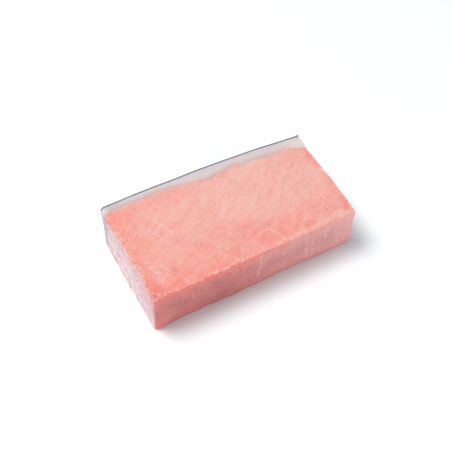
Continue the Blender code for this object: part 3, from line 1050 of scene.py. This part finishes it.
def closed_tube(centres: np.ndarray, sides: np.ndarray, ups: np.ndarray, half_width: np.ndarray,
                half_height: np.ndarray, corners: int = 6) -> Surface:
    """Carries an oval along a path and closes it with a point at each end.

    Each ring is centre + side * half width * cos + up * half height * sin, for even steps round the circle.

    Args:
        centres: The middle of each ring.
        sides: Unit vector across the path at each ring.
        ups: Unit vector out of the surface at each ring.
        half_width: Half the oval's width at each ring.
        half_height: Half its height.
        corners: Points in a ring.

    Returns:
        The tube as triangles.
    """
    turn = np.arange(corners) * 2 * np.pi / corners
    rings = (centres[:, None] + sides[:, None] * (half_width[:, None] * np.cos(turn))[..., None]
             + ups[:, None] * (half_height[:, None] * np.sin(turn))[..., None])
    count = len(centres)
    first, last = 2 * centres[0] - centres[1], 2 * centres[-1] - centres[-2]
    ends = np.stack([(centres[0] + first) / 2, (centres[-1] + last) / 2])
    points = np.concatenate([rings.reshape(-1, 3), ends])
    key = np.arange(count * corners).reshape(count, corners)
    here, after = key, np.roll(key, -1, axis=1)
    a, b, c, d = here[:-1].ravel(), after[:-1].ravel(), after[1:].ravel(), here[1:].ravel()
    start, end = np.full(corners, len(points) - 2), np.full(corners, len(points) - 1)
    triangles = np.concatenate([
        np.stack([a, d, c], axis=1), np.stack([a, c, b], axis=1),
        np.stack([here[0], after[0], start], axis=1), np.stack([after[-1], here[-1], end], axis=1)])
    made = Surface(points, triangles)
    volume = np.einsum("ij,ij->i", np.cross(points[triangles[:, 0]], points[triangles[:, 1]]),
                       points[triangles[:, 2]]).sum()
    if volume < 0:
        made.faces = triangles[:, ::-1]
    return made


@dataclass
class Shreds:
    """Pale threads of connective tissue and small shreds of fat that stand out of the cut faces.

    Threads on the top and at its front left corner are drawn in x and y, those on the left end in y and z. A
    placed shred is given by x, y, its length and the direction of its length in degrees.
    """

    flesh: Surface
    form: BlockForm
    thread_pitch: float = 0.9
    thread_half: float = 0.13
    end_half: float = 0.28
    corner_half: float = 0.19
    left_end: float = -82.0
    sunk: float = 0.04
    wander: float = 0.5
    edge_shreds: int = 140
    seed: int = 23
    top_threads: Sequence[Stations] = (
        ((-67, 32.6), (-72, 27), (-76.7, 22)), ((-63.4, 28), (-69, 23), (-75.2, 18)),
        ((-72.9, 12.8), (-78, 6.4)), ((-51, 23), (-50, 14), (-46, 6), (-44, 0)),
        ((14, -27), (19, -28), (23, -35), (24.5, -41)), ((-21, -32), (-14, -42)), ((-63, -24), (-58, -32)),
        ((-55, -36), (-53, -43)), ((-74, 30), (-79, 22)), ((-60, 20), (-66, 14), (-74, 9)),
    )
    end_threads: Sequence[Stations] = (
        ((-45, 29), (-45.3, 25), (-44.5, 20), (-43, 17)), ((-41.8, 27), (-41, 22), (-41.5, 16)),
        ((-37.5, 24), (-36.5, 19), (-38, 14), (-40, 13)), ((-30, 11), (-27, 8), (-24, 7)),
        ((-33, 15), (-34, 10), (-32, 6)),
    )
    corner_threads: Sequence[Stations] = (
        ((-78.6, -45.2), (-76.4, -44.9), (-75.4, -45.4)), ((-73.2, -45.2), (-71.9, -44.6), (-71.4, -43.2)),
        ((-75.6, -43.2), (-74.2, -41.8), (-73.6, -43.4)), ((-77.6, -42.4), (-77.2, -39.8)),
    )
    top_flakes: Sequence[tuple[float, float, float, float]] = (
        (-35, 20.7, 2.6, 0), (57.1, -14, 3.2, -40), (76.1, 7.9, 2.4, 20), (73, 12, 1.6, 30),
        (55.1, 13.2, 2.4, 10), (-6.3, -11.8, 1.6, 0), (60.8, -38.5, 2.4, 0), (-34, -12, 1.8, 60),
        (-31, -15, 1.4, 10), (-44.9, 3.4, 1.6, 80), (74, -38, 2.2, 20), (70, -40, 1.8, 10),
        (-22.5, 39.0, 1.2, 0), (75.5, 31.0, 1.8, -40), (78, -31, 2.0, 50), (66, -29, 2.2, 30),
        (32, -33, 1.6, 10), (48, -30, 1.2, 0), (-67, -28, 1.4, 60), (-79.5, -3, 2.2, 70),
        (-80, -6.5, 2.6, 60), (-78, -9, 1.8, 20), (-79.4, -12.5, 2.4, 75), (-78.5, -17, 2, 40),
        (-77.5, -20, 1.6, 80), (-80, -28, 2, 70), (-79, -34, 1.8, 50), (-76, -42, 2.2, 20),
        (-72, -44, 1.8, -20), (-78, -40, 1.8, 80), (-68, -43.5, 2, 10),
    )

    @cached_property
    def normals(self) -> np.ndarray:
        """Normals of the flesh, worked out once."""
        return self.flesh.normals()

    def nearest(self, places: np.ndarray) -> tuple[np.ndarray, np.ndarray]:
        """Point and normal of the flesh nearest to each place, by squared distances to all its points."""
        squares = (self.flesh.points**2).sum(axis=1) - 2 * places @ self.flesh.points.T
        at = squares.argmin(axis=1)
        return self.flesh.points[at], self.normals[at]

    def thread(self, path: np.ndarray, half: float) -> Surface:
        """Tube along a path of points, laid half into the flesh and tapered to both ends.

        Args:
            path: Rough points of the path, in mm.
            half: Half its width at the middle.

        Returns:
            The thread.
        """
        lengths = np.concatenate([[0], np.cumsum(np.linalg.norm(np.diff(path, axis=0), axis=1))])
        count = max(4, int(lengths[-1] / self.thread_pitch))
        at = np.linspace(0, lengths[-1], count)
        course = np.stack([np.interp(at, lengths, path[:, k]) for k in range(3)], axis=1)
        course[:, :2] += self.wander * np.stack([noise(course, 4.0, 41), noise(course, 4.0, 43)], axis=1)
        points, normals = self.nearest(course)
        course = course + normals * np.einsum("ij,ij->i", points - course, normals)[:, None]
        sides = np.cross(np.gradient(course, axis=0), normals)
        sides /= np.maximum(np.linalg.norm(sides, axis=1, keepdims=True), 1e-9)
        taper = np.sin(np.pi * np.linspace(0.08, 0.92, count)) ** 0.5
        width = half * taper * (1 + 0.35 * noise(course, 1.5, 47))
        return closed_tube(course - normals * self.sunk, sides, normals, width, 0.7 * width)

    def shred(self, place: np.ndarray, size: float, turn: float) -> Surface:
        """Small oval shred, longest along a turned direction, lying in the surface.

        Args:
            place: Where it lies, in mm.
            size: Its length.
            turn: Direction of its length in the surface, in degrees.

        Returns:
            The shred.
        """
        (point,), (normal,) = self.nearest(place[None])
        rough = np.array([np.cos(np.radians(turn)), np.sin(np.radians(turn)), 0.2])
        along = rough - normal * (rough @ normal)
        along /= np.linalg.norm(along)
        steps = np.linspace(-0.42, 0.42, 5)
        centres = point + along * (steps * size)[:, None] - normal * self.sunk
        oval = np.sqrt(0.25 - steps**2) * 2
        uneven = 1 + 0.4 * noise(centres, 0.9, 53)
        ups = np.broadcast_to(normal, centres.shape)
        sides = np.broadcast_to(np.cross(along, normal), centres.shape)
        return closed_tube(centres, sides, ups, 0.15 * size * oval * uneven, 0.06 * size * oval * uneven)

    def edge_weight(self) -> np.ndarray:
        """Chance of a shred at each point of the flesh: clusters on the top, by its front and end edges."""
        x, y, z = self.flesh.points.T
        front = bump(y - self.form.front_face(x, z), 1.4, 1.0) * ramp(z, 35, 37.5)
        left = bump(x + 81.0, 0.5, 2.5) * ramp(z, 34, 38) * (1 + ramp(y, 8, -5))
        right = bump(x - 82.0, -1.0, 3.0) * ramp(z, 37, 38)
        clusters = ramp(noise(self.flesh.points, 8, 59), -0.05, 0.45)
        weight = (front + left + 0.4 * right) * clusters * ramp(self.normals[:, 2], 0.5, 0.9)
        return weight / weight.sum()

    def build(self) -> Surface:
        """Threads and placed shreds, then shreds scattered along the edges.

        Returns:
            All of them as one surface.
        """
        top = self.form.height
        parts = [self.thread(np.array([(x, y, top) for x, y in path]), self.thread_half)
                 for path in self.top_threads]
        parts += [self.thread(np.array([(self.left_end, y, z) for y, z in path]), self.end_half)
                  for path in self.end_threads]
        parts += [self.thread(np.array([(x, y, top) for x, y in path]), self.corner_half)
                  for path in self.corner_threads]
        parts += [self.shred(np.array([x, y, top]), size, turn) for x, y, size, turn in self.top_flakes]
        rng = np.random.default_rng(self.seed)
        points = self.flesh.points
        for at in rng.choice(len(points), self.edge_shreds, replace=False, p=self.edge_weight()):
            parts.append(self.shred(points[at], rng.uniform(0.6, 1.7), rng.uniform(-60, 90)))
        return joined(parts)


@dataclass
class Studio:
    """Plain white floor, even sky light and one large soft light from high behind the left of the block."""

    floor_half: float = 6000.0
    key_from: tuple[float, float, float] = (-14.4, 10.4, 39.0)
    key_distance: float = 2400.0
    key_size: float = 1280.0
    key_power: float = 51.5
    card_place: tuple[float, float, float] = (330.0, -330.0, 120.0)
    card_size: float = 200.0
    card_power: float = 0.38
    card_tint: str = "#FFF4F0"
    sky: float = 0.43
    sky_tint: str = "#F8F9FF"
    camera_place: tuple[float, float, float] = (-210.0, -401.6, 609.9)
    camera_aim: tuple[float, float, float] = (5.9, 15.55, 0.0)
    lens: float = 79.65
    sensor: float = 36.0

    def aimed(self, thing: bpy.types.Object, place: Vector, target: Vector) -> None:
        """Puts a light or camera at a place, looking at a target."""
        thing.location = place
        thing.rotation_euler = (target - place).to_track_quat("-Z", "Y").to_euler()
        bpy.context.scene.collection.objects.link(thing)

    def build_floor(self) -> None:
        """One flat square whose corners are plus and minus the floor's half size."""
        steps = np.linspace(-self.floor_half, self.floor_half, 9)
        x, y = np.meshgrid(steps, steps, indexing="ij")
        key = np.arange(x.size).reshape(x.shape)
        quads = np.stack([key[:-1, :-1], key[1:, :-1], key[1:, 1:], key[:-1, 1:]], axis=-1).reshape(-1, 4)
        floor = Surface(np.stack([x.ravel(), y.ravel(), 0 * x.ravel()], axis=1), quads)
        floor.piece("floor", FloorFinish().material())

    def build_light(self) -> None:
        """Near-white sky, a large soft box high behind the left and a weak card in front of the right."""
        world = bpy.data.worlds.new("soft_sky")
        world.use_nodes = True
        background = world.node_tree.nodes["Background"]
        background.inputs["Color"].default_value = linear(self.sky_tint)
        background.inputs["Strength"].default_value = self.sky
        bpy.context.scene.world = world
        middle = Vector((0, 0, 20 * MM))
        key = middle + Vector(self.key_from).normalized() * self.key_distance * MM
        card = Vector(self.card_place) * MM
        for name, spot, size, power, tint in (
                ("soft_box", key, self.key_size, self.key_power, "#FFFFFF"),
                ("fill_card", card, self.card_size, self.card_power, self.card_tint)):
            light = bpy.data.lights.new(name, "AREA")
            light.color = linear(tint)[:3]
            light.size, light.energy = size * MM, power
            self.aimed(bpy.data.objects.new(name, light), spot, middle)

    def build_camera(self) -> None:
        """The photograph's camera: 52 degrees above the floor, 27 degrees round to the left of the front."""
        data = bpy.data.cameras.new("camera")
        data.lens, data.sensor_width = self.lens, self.sensor
        data.clip_start, data.clip_end = 0.01, 50.0
        camera = bpy.data.objects.new("camera", data)
        self.aimed(camera, Vector(self.camera_place) * MM, Vector(self.camera_aim) * MM)
        bpy.context.scene.camera = camera

    def build(self) -> None:
        """Floor, light and camera, and plain display colours."""
        self.build_floor()
        self.build_light()
        self.build_camera()
        bpy.context.scene.view_settings.view_transform = "Standard"


def hand_over(piece: bpy.types.Object, slot: str, node: str | None = None) -> None:
    """Hands a finished piece to the frame and reports it.

    Args:
        piece: The piece.
        slot: Name of the material slot that its finish belongs to; it only goes into the log line.
        node: The CAD node that it stands for, if it stands for one.
    """
    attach(piece, BODY)
    if node:
        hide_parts(node)
    log.info("%s: %d faces, slot %s, for node %s", piece.name, len(piece.data.polygons), slot, node)


def main() -> None:
    """Builds the studio and then the block's layers from the inside out."""
    logging.basicConfig(level=logging.INFO, format="%(name)s: %(message)s")
    Studio().build()
    form = BlockForm()
    flesh = FleshBlock(form).build()
    hand_over(flesh.piece("marbled_flesh", FleshFinish().material()), "flesh", "flesh_block")
    hand_over(FatLayer(form).build().piece("white_fat", FatFinish().material()), "fat", "fat_layer")
    hand_over(SkinLayer(form).build().piece("scaly_skin", SkinFinish().material()), "skin", "skin_layer")
    hand_over(Shreds(flesh, form).build().piece("fat_shreds", FlakeFinish().material()), "fat")


if __name__ == "__main__":
    main()
